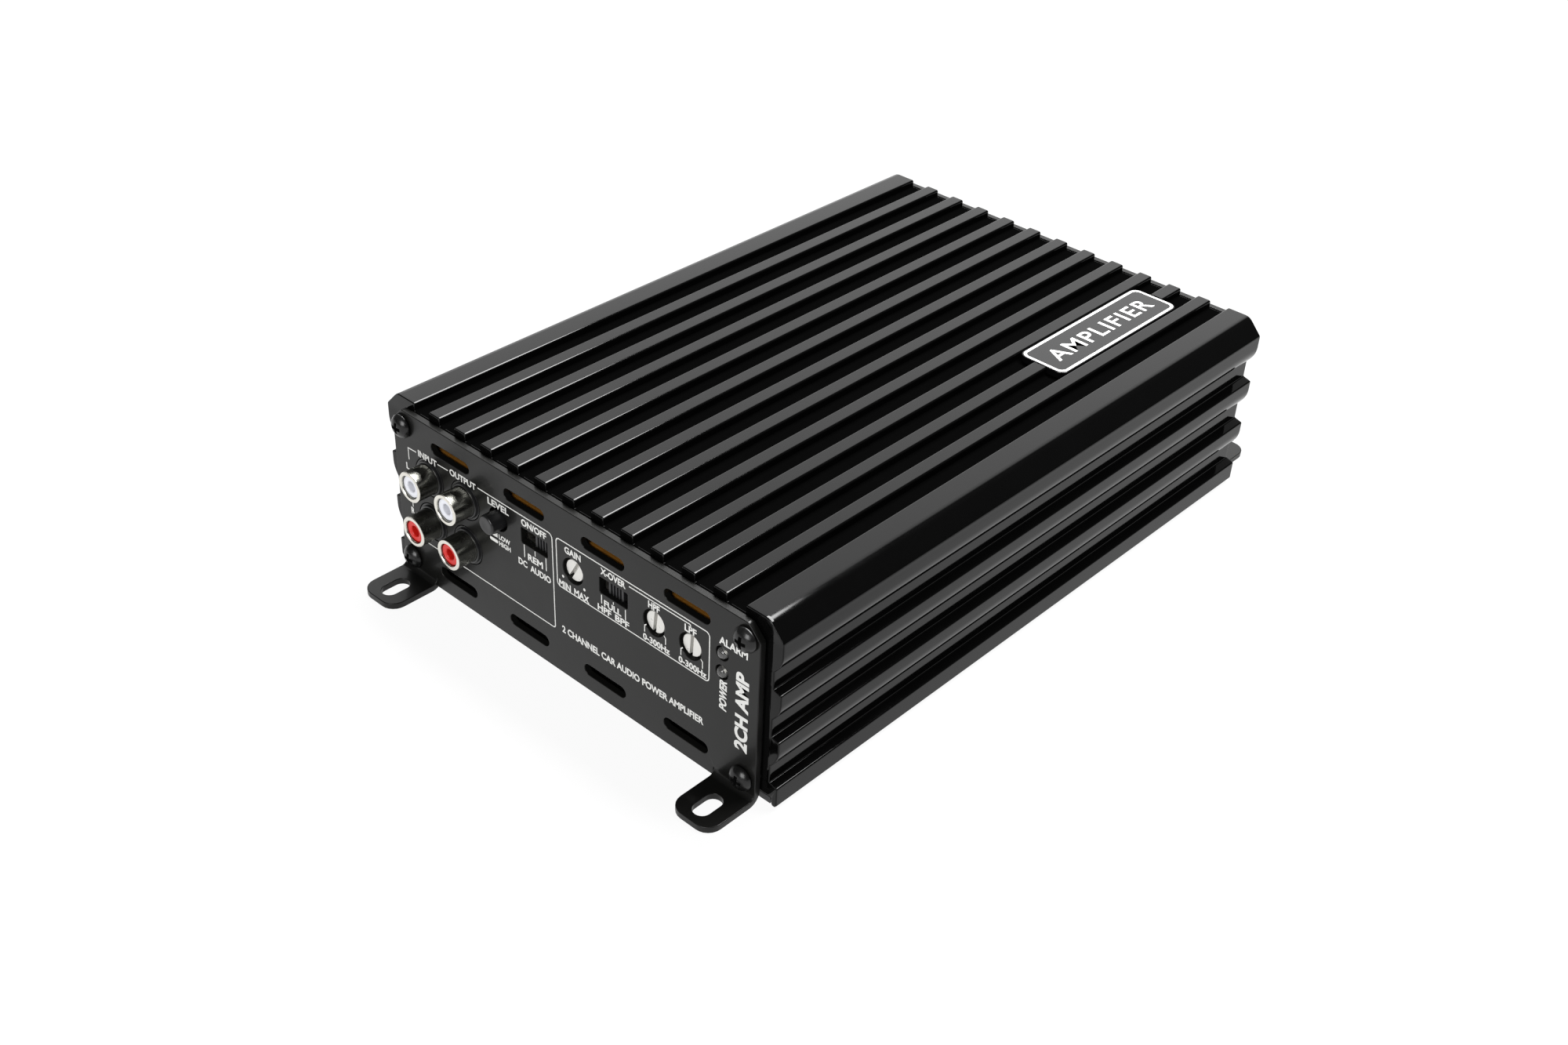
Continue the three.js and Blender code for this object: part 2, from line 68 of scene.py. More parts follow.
# ---- sizes of the object, in mm -----------------------------------------------
END = 96.5              # half the length of the extrusion
PLATE_OUT = 98.6        # Y of the end plates' outer faces
FRONT = -PLATE_OUT
SHEET = 1.8
FOOT_REACH = 14.7       # from a plate's outer face to the toe of its feet
FOOT_X = (50.1, 62.9)
SIDE = 67.6             # half the width over the ribs
WALL = 65.2             # half the width between the ribs
INNER = 62.4            # half the width of the hollow
TOP = 52.5
FLOOR = 50.3            # height of the groove floors
CEILING = 46.9          # height of the hollow's roof
CHAMFER_X = 63.35       # where a rail's top turns into its chamfer
CHAMFER_Z = 48.0
PITCH = 9.747           # from fin to fin
FIN_HALF = 2.12
FINS = 11
RIB_TOPS = (6.6, 20.15, 33.7)
PORT = 2.6              # radius of the screw ports along the extrusion
PORT_BORE = 1.8
PORT_DEPTH = 14.0
COVER_SCREW = (59.5, 72.0)  # X and Y, either side of the middle
PLATE_TOP = 50.4
PLATE_LOW = 0.9
PLATE_CHAMFER = 3.7
FOOT_SLOT = (8.1, 4.6)
SLOT_MIDDLE = 6.25      # from the toe to the middle of its slot
SCREW_X = 58.9
SCREW_Z = (6.2, 46.0)
SCREW_HOLE = 2.1        # holes are given by their radius
VENT_X = (-40.8, -13.6, 13.6, 40.8)
VENT_Z = (7.2, 44.6)
VENT = (14.4, 3.2)
JACK_X = (-49.6, -35.9)
JACK_Z = (34.8, 21.4)
JACK_HOLE = 5.4
BUTTON = (-23.4, 35.5)
BUTTON_HOLE = 3.3
MODE = (-10.3, 35.4)
CROSS = (17.1, 35.4)
LEVER_HOLE = (4.7, 2.2)  # half the width, half the height
POTS = (("gain", 3.3, 30.0), ("highpass", 30.4, 6.0), ("lowpass", 42.0, 4.0))
POT_Z = 34.1
POT_HOLE = 3.5
LED_X = 51.8
LED_Z = (37.8, 32.5)
LED_HOLE = 1.9
HANG = 40.7             # just below the board, where its hanging parts end
BADGE = (31.66, 46.31, 32.6, 86.9)
WAYS = 7
WAY_PITCH = 9.4
BLOCK_X = -14.0
BLOCK_Z = (18.6, 37.4)
TERMINAL_Z = 28.0
FUSE_X = (35.0, 45.0)
FUSE_Z = 27.0
FUSE_HOLE = (3.2, 10.2)  # half the width, half the height

# ---- sizes of the finish, in mm -------------------------------------------------
END_ROUND = 0.28        # rounding of the extrusion's sawn ends
END_CUT = 0.9           # extra edges this far from the ends, for even shading
FIN_ROUND = 0.55        # rounding of the fins' top edges
ROOT_ROUND = 0.3        # rounding where a fin meets the groove floor
BEND_STEPS = 12
GROOVE_FADE = (1.1, 0.25)  # depths below the fin tops where shine begins and is full
SHINE_BELOW = 0.2       # the sides are glossy from this far below the groove floors
SHINE_END = 0.3         # the sawn ends are glossy over this much of the length
RAIL_SHINE = 57.5       # beyond this X the rails are glossy
SHADED_SIDE_HEIGHTS = (46.5, 49.0)    # heights between which the painted shade on the sides fades out and the paint grows glossier
SHADED_SIDE_SHINE = 0.7       # share of the shine that the sides have; the lowered shine is painted shade of the shadowed floor they mirror
PRINT = 0.05            # thickness of the printing
PROUD = 0.02            # how far the printing stands out from the sheet


# ---- shader nodes -------------------------------------------------------------
def calculate(tree, operation, *values):
    """A math node on outputs and numbers; gives its output."""
    node = tree.nodes.new("ShaderNodeMath")
    node.operation = operation
    for socket, value in zip(node.inputs, values):
        if isinstance(value, float):
            socket.default_value = value
        else:
            tree.links.new(value, socket)
    return node.outputs[0]


def remap(tree, value, source=(0.0, 1.0), target=(0.0, 1.0), smooth=False):
    """Carries a value from one range to another, held at both ends."""
    node = tree.nodes.new("ShaderNodeMapRange")
    if smooth:
        node.interpolation_type = "SMOOTHSTEP"
    node.inputs["From Min"].default_value = source[0]
    node.inputs["From Max"].default_value = source[1]
    node.inputs["To Min"].default_value = target[0]
    node.inputs["To Max"].default_value = target[1]
    tree.links.new(value, node.inputs["Value"])
    return node.outputs["Result"]


def noise(tree, vector, scale, detail):
    """A noise pattern over the surface; gives its grey level."""
    node = tree.nodes.new("ShaderNodeTexNoise")
    node.inputs["Scale"].default_value = scale
    node.inputs["Detail"].default_value = detail
    tree.links.new(vector, node.inputs["Vector"])
    return node.outputs["Fac"]


def painted_shine(tree, place, full, groove):
    """The shine of the painted extrusion: full on top, less on the sides, where painted shade
    stands for the shadowed floor they mirror, and only groove on the floors and walls of the
    grooves between the fins."""
    split = tree.nodes.new("ShaderNodeSeparateXYZ")
    tree.links.new(place, split.inputs[0])
    x, y, z = split.outputs["X"], split.outputs["Y"], split.outputs["Z"]
    fade = [(TOP - depth) * MM for depth in GROOVE_FADE]
    fin_top = remap(tree, z, fade, smooth=True)
    below = calculate(tree, "LESS_THAN", z, (FLOOR - SHINE_BELOW) * MM)
    aside = calculate(tree, "ABSOLUTE", x)
    outside = calculate(tree, "GREATER_THAN", aside, RAIL_SHINE * MM)
    along = calculate(tree, "ABSOLUTE", y)
    end_face = calculate(tree, "GREATER_THAN", along, (END - SHINE_END) * MM)
    clear = calculate(tree, "MAXIMUM", below, outside)
    clear = calculate(tree, "MAXIMUM", clear, end_face)
    clear = calculate(tree, "MAXIMUM", clear, fin_top)
    shine = remap(tree, clear, target=(groove, full))
    # Painted shade: below these heights the sides mirror less, as they would with the floor
    # beside them in shadow.
    painted_flank_shade = remap(tree, z, [height * MM for height in SHADED_SIDE_HEIGHTS], (SHADED_SIDE_SHINE, 1.0))
    return calculate(tree, "MULTIPLY", shine, painted_flank_shade)


def finish(name, colour, roughness, metallic=0.0, vary=0.15, rough_vary=0.04,
           patch=120.0, grain=2500.0, bump=0.02, depth=0.00005, stretch=(1, 1, 1),
           specular=0.5, coat=0.0, coat_rough=0.05, transmission=0.0, ior=1.45,
           groove=None):
    """A node material: patchy colour and roughness, fine grain in the surface.

    groove is the shine left inside the grooves between the fins on top."""
    m = bpy.data.materials.new(name)
    m.use_nodes = True
    tree = m.node_tree
    bsdf = tree.nodes["Principled BSDF"]
    place = tree.nodes.new("ShaderNodeTexCoord").outputs["Object"]
    mapping = tree.nodes.new("ShaderNodeMapping")
    mapping.inputs["Scale"].default_value = stretch
    tree.links.new(place, mapping.inputs["Vector"])
    broad = noise(tree, mapping.outputs["Vector"], patch, 4.0)
    fine = noise(tree, mapping.outputs["Vector"], grain, 3.0)

    mix = tree.nodes.new("ShaderNodeMix")
    mix.data_type = "RGBA"
    low = [max(0.0, c * (1 - vary)) for c in colour]
    high = [min(1.0, c * (1 + vary)) for c in colour]
    mix.inputs["A"].default_value = (*low, 1.0)
    mix.inputs["B"].default_value = (*high, 1.0)
    patches = calculate(tree, "MULTIPLY", broad, 0.65)
    blend = calculate(tree, "MULTIPLY_ADD", fine, 0.35, patches)
    tree.links.new(blend, mix.inputs["Factor"])
    tree.links.new(mix.outputs["Result"], bsdf.inputs["Base Color"])

    rough = (max(0.02, roughness - rough_vary), min(1.0, roughness + rough_vary))
    tree.links.new(remap(tree, broad, (0.3, 0.7), rough), bsdf.inputs["Roughness"])

    if bump > 0:
        dent = tree.nodes.new("ShaderNodeBump")
        dent.inputs["Strength"].default_value = bump
        dent.inputs["Distance"].default_value = depth
        tree.links.new(fine, dent.inputs["Height"])
        tree.links.new(dent.outputs["Normal"], bsdf.inputs["Normal"])
    bsdf.inputs["Metallic"].default_value = metallic
    bsdf.inputs["Specular IOR Level"].default_value = specular
    if groove is not None:
        tree.links.new(painted_shine(tree, place, specular, groove),
                       bsdf.inputs["Specular IOR Level"])
    bsdf.inputs["Coat Weight"].default_value = coat
    bsdf.inputs["Coat Roughness"].default_value = coat_rough
    bsdf.inputs["Transmission Weight"].default_value = transmission
    bsdf.inputs["IOR"].default_value = ior
    m.diffuse_color = (*colour, 1.0)
    return m


# ---- materials ----------------------------------------------------------------
MAT = {
    # Gloss black paint; the grooves between the fins are given no shine, which keeps them dark.
    "extrusion": finish("black_gloss_paint", (0.0013, 0.0013, 0.0013), 0.075, vary=0.25,
                        rough_vary=0.02, patch=60, grain=700, bump=0.006, depth=0.00002,
                        specular=0.28, groove=0.0),
    "badge": finish("badge_black", (0.0025, 0.0025, 0.0027), 0.14, vary=0.2, patch=200,
                    grain=4000, bump=0.02, depth=0.00002),
    # Powder-coated sheet: a fine even pebble.
    "plate": finish("black_powder_coat", (0.0060, 0.0060, 0.0056), 0.34, vary=0.25,
                    rough_vary=0.05, patch=90, grain=3200, bump=0.12, depth=0.00005,
                    specular=0.21, coat=0.10, coat_rough=0.08),
    "cover": finish("cover_black", (0.010, 0.010, 0.011), 0.45, patch=70, grain=2600,
                    bump=0.2, depth=0.00006),
    "screw": finish("black_oxide_steel", (0.005, 0.005, 0.005), 0.30, vary=0.3,
                    rough_vary=0.06, patch=900, grain=5000, bump=0.05, coat=0.12,
                    coat_rough=0.10, specular=0.38),
    "plastic": finish("black_moulded_plastic", (0.010, 0.010, 0.0105), 0.30, vary=0.2,
                      patch=300, grain=4200, bump=0.10, depth=0.00003),
    "lever": finish("lever_plastic", (0.014, 0.014, 0.015), 0.38, vary=0.2,
                    patch=500, grain=5200, bump=0.15, depth=0.00003),
    "barrel": finish("black_nickel", (0.36, 0.36, 0.325), 0.24, metallic=1.0, vary=0.15,
                     rough_vary=0.05, patch=500, grain=4200, bump=0.04, depth=0.00002),
    "chrome": finish("nickel_plate", (0.74, 0.72, 0.66), 0.26, metallic=1.0, vary=0.08,
                     rough_vary=0.05, patch=500, grain=4200, bump=0.04, depth=0.00002),
    "steel": finish("zinc_steel", (0.50, 0.49, 0.46), 0.33, metallic=1.0, vary=0.12,
                    rough_vary=0.08, patch=500, grain=3600, bump=0.08, depth=0.00003),
    "gold": finish("contact_brass", (0.62, 0.45, 0.20), 0.28, metallic=1.0, vary=0.12,
                   patch=700, grain=4200, bump=0.05, depth=0.00002),
    "white": finish("white_insert", (0.72, 0.73, 0.78), 0.30, vary=0.05, patch=600,
                    grain=4000, bump=0.05, depth=0.00002),
    "red": finish("red_insert", (0.56, 0.012, 0.008), 0.35, vary=0.12, patch=600,
                  grain=4000, bump=0.05, depth=0.00002),
    "shaft": finish("shaft_white", (0.66, 0.65, 0.62), 0.30, metallic=0.25, vary=0.08,
                    patch=500, grain=4200, bump=0.08, depth=0.00003),
    "print": finish("screen_print", (0.66, 0.66, 0.64), 0.55, vary=0.08, patch=800,
                    grain=6000, bump=0.10, depth=0.00001),
    "badge_print": finish("badge_ink", (0.72, 0.72, 0.71), 0.45, vary=0.05, patch=800,
                          grain=6000, bump=0.08, depth=0.00001),
    "board": finish("board_resin", (0.20, 0.085, 0.012), 0.40, vary=0.25, patch=160,
                    grain=1800, bump=0.08, depth=0.00005),
    "lens": finish("lamp_lens", (0.24, 0.24, 0.235), 0.06, vary=0.05, rough_vary=0.01,
                   patch=300, grain=2000, bump=0.01, transmission=0.72, ior=1.5),
    "copper": finish("copper_winding", (0.48, 0.17, 0.055), 0.30, metallic=0.8, vary=0.2,
                     patch=400, grain=3000, bump=0.25, depth=0.0002),
    "sleeve": finish("capacitor_sleeve", (0.016, 0.022, 0.060), 0.32, vary=0.15,
                     patch=200, grain=2600, bump=0.05),
    "aluminium": finish("bar_aluminium", (0.55, 0.55, 0.55), 0.36, metallic=1.0,
                        vary=0.08, patch=120, grain=2200, bump=0.12, depth=0.00005,
                        stretch=(1, 0.08, 1)),
    "fuse": finish("fuse_plastic", (0.72, 0.33, 0.02), 0.22, vary=0.10, patch=300,
                   grain=2600, bump=0.04, transmission=0.35, ior=1.5),
    "package": finish("moulded_package", (0.012, 0.012, 0.012), 0.5, vary=0.2,
                      patch=600, grain=4000, bump=0.2, depth=0.00004),
}


# ---- outlines ---------------------------------------------------------------
def fillet(points, radius, closed=True, steps=4):
    """Rounds the corners of a polyline. radius is one number or one per point."""
    out = []
    n = len(points)
    for i, (x, y) in enumerate(points):
        r = radius[i] if isinstance(radius, (list, tuple)) else radius
        if r <= 0 or (not closed and i in (0, n - 1)):
            out.append((x, y))
            continue
        p = Vector((x, y))
        a = Vector(points[i - 1]) - p
        b = Vector(points[(i + 1) % n]) - p
        room = 0.48 * min(a.length, b.length)
        a.normalize()
        b.normalize()
        angle = math.acos(max(-1.0, min(1.0, a.dot(b))))
        if angle > math.radians(174):
            out.append((x, y))
            continue
        d = min(r / math.tan(angle / 2), room)
        r = d * math.tan(angle / 2)
        c = p + (a + b).normalized() * (r / math.sin(angle / 2))
        s, e = p + a * d - c, p + b * d - c
        a0 = math.atan2(s.y, s.x)
        turn = math.remainder(math.atan2(e.y, e.x) - a0, math.tau)
        k = max(1, round(steps * abs(turn) / (math.pi / 2)))
        for j in range(k + 1):
            t = a0 + turn * j / k
            out.append((c.x + r * math.cos(t), c.y + r * math.sin(t)))
    return out


def circle(x, y, r, n):
    return [(x + r * math.cos(math.tau * i / n), y + r * math.sin(math.tau * i / n))
            for i in range(n)]


def rounded_box(x0, x1, y0, y1, r, steps=4):
    return fillet([(x0, y0), (x1, y0), (x1, y1), (x0, y1)], r, steps=steps)


def obround(x, y, length, height, n=10):
    """A slot outline: two half circles joined by straight sides."""
    r = height / 2
    half = length / 2 - r
    pts = []
    for i in range(n + 1):
        t = -math.pi / 2 + math.pi * i / n
        pts.append((x + half + r * math.cos(t), y + r * math.sin(t)))
    for i in range(n + 1):
        t = math.pi / 2 + math.pi * i / n
        pts.append((x - half + r * math.cos(t), y + r * math.sin(t)))
    return pts


def area(loop):
    """Signed area: above zero when the loop runs anticlockwise."""
    return sum(a[0] * b[1] - b[0] * a[1] for a, b in zip(loop, loop[1:] + loop[:1])) / 2


def tidy_loop(loop):
    """The loop without points that fall on each other."""
    out = []
    for p in loop:
        if not out or math.hypot(p[0] - out[-1][0], p[1] - out[-1][1]) > 1e-4:
            out.append(p)
    if math.hypot(out[0][0] - out[-1][0], out[0][1] - out[-1][1]) < 1e-4:
        out.pop()
    return out


# ---- solids, as bmeshes in mm -------------------------------------------------
def slab(outer, holes, low, high, edge=0.2, steps=3):
    """A flat solid: loops in X and Y, thick along Z, with all its edges rounded."""
    bm = bmesh.new()
    if edge > 0:
        lower = []
        for j in range(steps + 1):
            t = math.pi / 2 * j / steps
            lower.append((edge * (1 - math.sin(t)), low + edge * (1 - math.cos(t))))
        levels = lower + [(i, low + high - z) for i, z in reversed(lower)]
    else:
        levels = [(0.0, low), (0.0, high)]
    caps = ([], [])
    for k, loop in enumerate([outer, *holes]):
        pts = tidy_loop(loop)
        if (area(pts) > 0) != (k == 0):
            pts.reverse()
        n = len(pts)
        inward = []
        for i in range(n):
            p = Vector(pts[i])
            e1 = (p - Vector(pts[i - 1])).normalized()
            e2 = (Vector(pts[(i + 1) % n]) - p).normalized()
            n1, n2 = Vector((-e1.y, e1.x)), Vector((-e2.y, e2.x))
            inward.append((n1 + n2) / max(0.25, 1 + n1.dot(n2)))
        rings = [[bm.verts.new((pts[i][0] + inward[i].x * inset,
                                pts[i][1] + inward[i].y * inset, z)) for i in range(n)]
                 for inset, z in levels]
        for a, b in zip(rings, rings[1:]):
            for i in range(n):
                j = (i + 1) % n
                bm.faces.new((a[i], a[j], b[j], b[i]))
        caps[0].append(rings[0])
        caps[1].append(rings[-1])
    for cap in caps:
        edges = [bm.edges.get((r[i], r[(i + 1) % len(r)])) for r in cap
                 for i in range(len(r))]
        bmesh.ops.triangle_fill(bm, use_beauty=True, use_dissolve=False, edges=edges)
    bmesh.ops.recalc_face_normals(bm, faces=bm.faces[:])
    return bm


def upright(bm):
    """Turns a slab drawn in X and Y so that it stands in X and Z; its thickness runs along Y."""
    for v in bm.verts:
        x, y, z = v.co
        v.co = (x, z, y)
    bmesh.ops.recalc_face_normals(bm, faces=bm.faces[:])
    return bm


def turned(profile, x, z, segments=48):
    """A turned solid about a line along Y: pairs of radius and y. A profile that
    starts off the axis closes on itself as a ring."""
    bm = bmesh.new()
    ring = profile[0][0] > 1e-6
    rows = []
    for r, y in profile:
        if r < 1e-6:
            rows.append([bm.verts.new((x, y, z))])
        else:
            rows.append([bm.verts.new((x + r * math.cos(math.tau * i / segments), y,
                                       z + r * math.sin(math.tau * i / segments)))
                         for i in range(segments)])
    pairs = list(zip(rows, rows[1:]))
    if ring:
        pairs.append((rows[-1], rows[0]))
    for a, b in pairs:
        for i in range(segments):
            j = (i + 1) % segments
            if len(a) == 1 and len(b) == 1:
                continue
            if len(a) == 1:
                bm.faces.new((a[0], b[i], b[j]))
            elif len(b) == 1:
                bm.faces.new((a[i], a[j], b[0]))
            else:
                bm.faces.new((a[i], a[j], b[j], b[i]))
    bmesh.ops.recalc_face_normals(bm, faces=bm.faces[:])
    return bm


def block(x0, x1, y0, y1, z0, z1, edge=0.2, corner=0.2):
    """A box with rounded edges, standing along Y."""
    bm = slab(rounded_box(x0, x1, z0, z1, max(corner, edge), 3), [], y0, y1, edge)
    return upright(bm)


def mesh_of(bm, scale=1.0):
    """The bmesh as a mesh; the bmesh is used up."""
    me = bpy.data.meshes.new("mesh")
    if scale != 1.0:
        bm.transform(Matrix.Scale(scale, 4))
    bm.to_mesh(me)
    bm.free()
    return me


def combine(bm, tool, how="DIFFERENCE"):
    """bm with the tool cut from it or joined to it; both bmeshes are used up."""
    a = bpy.data.objects.new("a", mesh_of(bm))
    b = bpy.data.objects.new("b", mesh_of(tool))
    for o in (a, b):
        scene.collection.objects.link(o)
    mod = a.modifiers.new("cut", "BOOLEAN")
    mod.operation = how
    mod.solver = "EXACT"
    mod.use_self = True
    mod.object = b
    deps = bpy.context.evaluated_depsgraph_get()
    me = bpy.data.meshes.new_from_object(a.evaluated_get(deps))
    out = bmesh.new()
    out.from_mesh(me)
    bmesh.ops.remove_doubles(out, verts=out.verts[:], dist=1e-4)
    bmesh.ops.dissolve_degenerate(out, dist=1e-4, edges=out.edges[:])
    for o in (a, b):
        data = o.data
        bpy.data.objects.remove(o)
        bpy.data.meshes.remove(data)
    bpy.data.meshes.remove(me)
    return out


def merged(*parts):
    """Several bmeshes as one, side by side; the parts are used up."""
    out = bmesh.new()
    for bm in parts:
        me = mesh_of(bm)
        out.from_mesh(me)
        bpy.data.meshes.remove(me)
    return out


def moved(bm, dx=0.0, dy=0.0, dz=0.0):
    bm.transform(Matrix.Translation((dx, dy, dz)))
    return bm


def flipped(bm):
    """Mirrors front to rear."""
    for v in bm.verts:
        v.co.y = -v.co.y
    bmesh.ops.reverse_faces(bm, faces=bm.faces[:])
    return bm


def piece(name, bm, material, node=None, body=ROOT, sharp=40, weighted=True):
    """Makes the finished object from a bmesh in mm, and puts it on its body. node is
    the CAD node that it stands for; edges steeper than sharp degrees stay crisp."""
    me = mesh_of(bm, MM)
    me.name = name
    for p in me.polygons:
        p.use_smooth = True
    me.set_sharp_from_angle(angle=math.radians(sharp))
    ob = bpy.data.objects.new(name, me)
    scene.collection.objects.link(ob)
    me.materials.append(MAT[material])
    if weighted:
        mod = ob.modifiers.new("even_normals", "WEIGHTED_NORMAL")
        mod.keep_sharp = True
    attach(ob, body)
    if node:
        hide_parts(node)
    return ob


# ---- heatsink extrusion -----------------------------------------------------
def heatsink():
    """The extrusion's outline, drawn once round, then run from end to end and drilled."""
    pts, rad = [], []

    def add(x, z, r):
        pts.append((x, z))
        rad.append(r)

    def side(s):
        rows = [(55.0, 3.2, 0.3), (66.0, 3.2, 0.3), (66.0, 1.4, 0.1), (66.4, 0.9, 0.15),
                (67.1, 0.9, 0.2), (SIDE, 1.5, 0.3)]
        for top in RIB_TOPS:
            rows += [(SIDE, top, 0.45), (WALL, top + 0.7, 0.35)]
            low = top + 5.5
            for i in range(7):
                t = i / 6
                x = (1 - t) ** 2 * WALL + 2 * t * (1 - t) * SIDE + t * t * SIDE
                z = (1 - t) ** 2 * low + 2 * t * (1 - t) * (low + 2.5) + t * t * (low + 5.3)
                rows.append((x, z, 0.35 if i == 0 else 0.0))
        rows += [(SIDE, CHAMFER_Z, 0.9), (CHAMFER_X, TOP, 3.0)]
        for x, z, r in rows if s > 0 else reversed(rows):
            add(s * x, z, r)

    side(1)
    rail = (FINS + 1) / 2 * PITCH - FIN_HALF
    add(rail, TOP, FIN_ROUND)
    add(rail, FLOOR, ROOT_ROUND)
    for k in range((FINS - 1) // 2, -(FINS - 1) // 2 - 1, -1):
        c = k * PITCH
        for x, z, r in ((FIN_HALF, FLOOR, ROOT_ROUND), (FIN_HALF, TOP, FIN_ROUND),
                        (-FIN_HALF, TOP, FIN_ROUND), (-FIN_HALF, FLOOR, ROOT_ROUND)):
            add(c + x, z, r)
    add(-rail, FLOOR, ROOT_ROUND)
    add(-rail, TOP, FIN_ROUND)
    side(-1)
    inner = [(55.0, 5.6, 0.4), (60.8, 5.6, 0.4), (INNER, 7.2, 0.5), (INNER, 38.2, 0.3),
             (59.6, 39.4, 0.3), (59.6, 40.7, 0.3), (INNER, 40.7, 0.3),
             (INNER, CEILING - 1, 0.4), (61.4, CEILING, 0.4)]
    for x, z, r in inner:
        add(-x, z, r)
    for x, z, r in reversed(inner):
        add(x, z, r)
    outline = fillet(pts, rad, steps=7)
    bm = upright(slab(outline, [], -END, END, END_ROUND, 3))
    # Round ports run along the corners and are bored at both ends for the screws.
    ports, cuts = [], []
    port_end = END - 0.05
    port = [(0, -port_end), (PORT, -port_end), (PORT, port_end), (0, port_end)]
    for s in (-1, 1):
        for z in SCREW_Z:
            ports.append(turned(port, s * SCREW_X, z, 24))
            for t in (-1, 1):
                a, b = sorted((t * (END - PORT_DEPTH), t * (END + 1)))
                bore = [(0, a), (PORT_BORE, a), (PORT_BORE, b), (0, b)]
                cuts.append(turned(bore, s * SCREW_X, z, 20))
    bm = combine(bm, merged(*ports), "UNION")
    # The badge plate lies in a pocket across the fins.
    x0, x1, y0, y1 = BADGE
    cuts.append(block(x0 + 3, x1 - 3, y0 - 0.3, y1 + 0.3, FLOOR, TOP + 5, 0, 0))
    # Four blind holes from below take the cover screws.
    for s in (-1, 1):
        for t in (-1, 1):
            hole = turned([(0, 2.5), (1.6, 2.5), (1.6, 11), (0, 11)], 0, 0, 16)
            for v in hole.verts:
                x, y, z = v.co
                v.co = (x + s * COVER_SCREW[0], z + t * COVER_SCREW[1], y)
            bmesh.ops.recalc_face_normals(hole, faces=hole.faces[:])
            cuts.append(hole)
    bm = combine(bm, merged(*cuts))
    # A cut near each end keeps the shading of the rounding away from the length.
    for y in (-END + END_CUT, END - END_CUT):
        geom = bm.verts[:] + bm.edges[:] + bm.faces[:]
        bmesh.ops.bisect_plane(bm, geom=geom, plane_co=(0, y, 0), plane_no=(0, 1, 0),
                               dist=1e-5)
    return piece("heatsink_finned", bm, "extrusion", "heatsink", sharp=42)


heatsink()

# ---- end plates with bent feet ------------------------------------------------
BEND = 1.6                                   # inner bend radius
BEND_TOP = SHEET + BEND                      # height where the bend begins
BEND_LEN = math.pi / 2 * (BEND + SHEET / 2)  # length of sheet in the bend
FOOT_FLAT = FOOT_REACH - BEND


def footed_plate(cuts, front=True):
    """Cut flat, edges rounded, then bent outward at the two feet."""
    low = PLATE_LOW - BEND_TOP
    toe = -(BEND_LEN + FOOT_FLAT)
    h = PLATE_TOP - BEND_TOP
    xa, xb = FOOT_X
    half = [(xa - 0.14, low, 0.1), (xa - 0.14, 0.0, 0.06), (xa, 0.0, 0.06),
            (xa, toe, 4.0), (xb, toe, 4.0), (xb, h - PLATE_CHAMFER, 0.9),
            (xb - PLATE_CHAMFER, h, 0.9)]
    rows = half + [(-x, z, r) for x, z, r in reversed(half)]
    outline = fillet([(x, z) for x, z, _ in rows], [r for *_, r in rows], steps=6)
    holes = [[(x, z - BEND_TOP) for x, z in loop] for loop in cuts]
    for s in (-1, 1):
        cx = s * (xa + xb) / 2
        slot = obround(0, 0, *FOOT_SLOT, 12)
        holes.append([(cx + v, toe + SLOT_MIDDLE + u) for u, v in slot])
    # Thickness runs from the outer face (0) to the inner face (SHEET).
    bm = slab(outline, holes, 0.0, SHEET, 0.2, 4)
    for i in range(BEND_STEPS + 1):
        at = -BEND_LEN * i / BEND_STEPS
        geom = bm.verts[:] + bm.edges[:] + bm.faces[:]
        bmesh.ops.bisect_plane(bm, geom=geom, plane_co=(0, at, 0), plane_no=(0, 1, 0),
                               dist=1e-5)
    for v in bm.verts:
        x, s, n = v.co
        if s >= 0 or abs(x) < xa - 0.07:
            y, z = FRONT + n, BEND_TOP + s
        elif s > -BEND_LEN:
            t = -s / BEND_LEN * math.pi / 2
            y = FRONT - BEND + (BEND + n) * math.cos(t)
            z = BEND_TOP - (BEND + n) * math.sin(t)
        else:
            y, z = FRONT - BEND + (s + BEND_LEN), SHEET - n
        v.co = (x, y, z)
    bmesh.ops.recalc_face_normals(bm, faces=bm.faces[:])
    return bm if front else flipped(bm)


common = [obround(x, VENT_Z[1], *VENT) for x in VENT_X]
common += [circle(s * SCREW_X, z, SCREW_HOLE, 24) for s in (-1, 1) for z in SCREW_Z]
front_cuts = common + [obround(x, VENT_Z[0], *VENT) for x in VENT_X]
front_cuts += [circle(x, z, JACK_HOLE, 48) for x in JACK_X for z in JACK_Z]
front_cuts += [circle(*BUTTON, BUTTON_HOLE, 36)]
w, h = LEVER_HOLE
front_cuts += [rounded_box(x - w, x + w, z - h, z + h, 0.35) for x, z in (MODE, CROSS)]
front_cuts += [circle(x, POT_Z, POT_HOLE, 36) for _, x, _ in POTS]
front_cuts += [circle(LED_X, z, LED_HOLE, 28) for z in LED_Z]
piece("control_panel", footed_plate(front_cuts), "plate", "front_plate")
half = WAYS * WAY_PITCH / 2 + 1.1
rear_cuts = common + [rounded_box(BLOCK_X - half - 0.4, BLOCK_X + half + 0.4,
                                  BLOCK_Z[0] - 0.4, BLOCK_Z[1] + 0.4, 0.5)]
w, h = FUSE_HOLE
rear_cuts += [rounded_box(x - w, x + w, FUSE_Z - h, FUSE_Z + h, 0.6) for x in FUSE_X]
piece("terminal_panel", footed_plate(rear_cuts, False), "plate", "rear_plate")


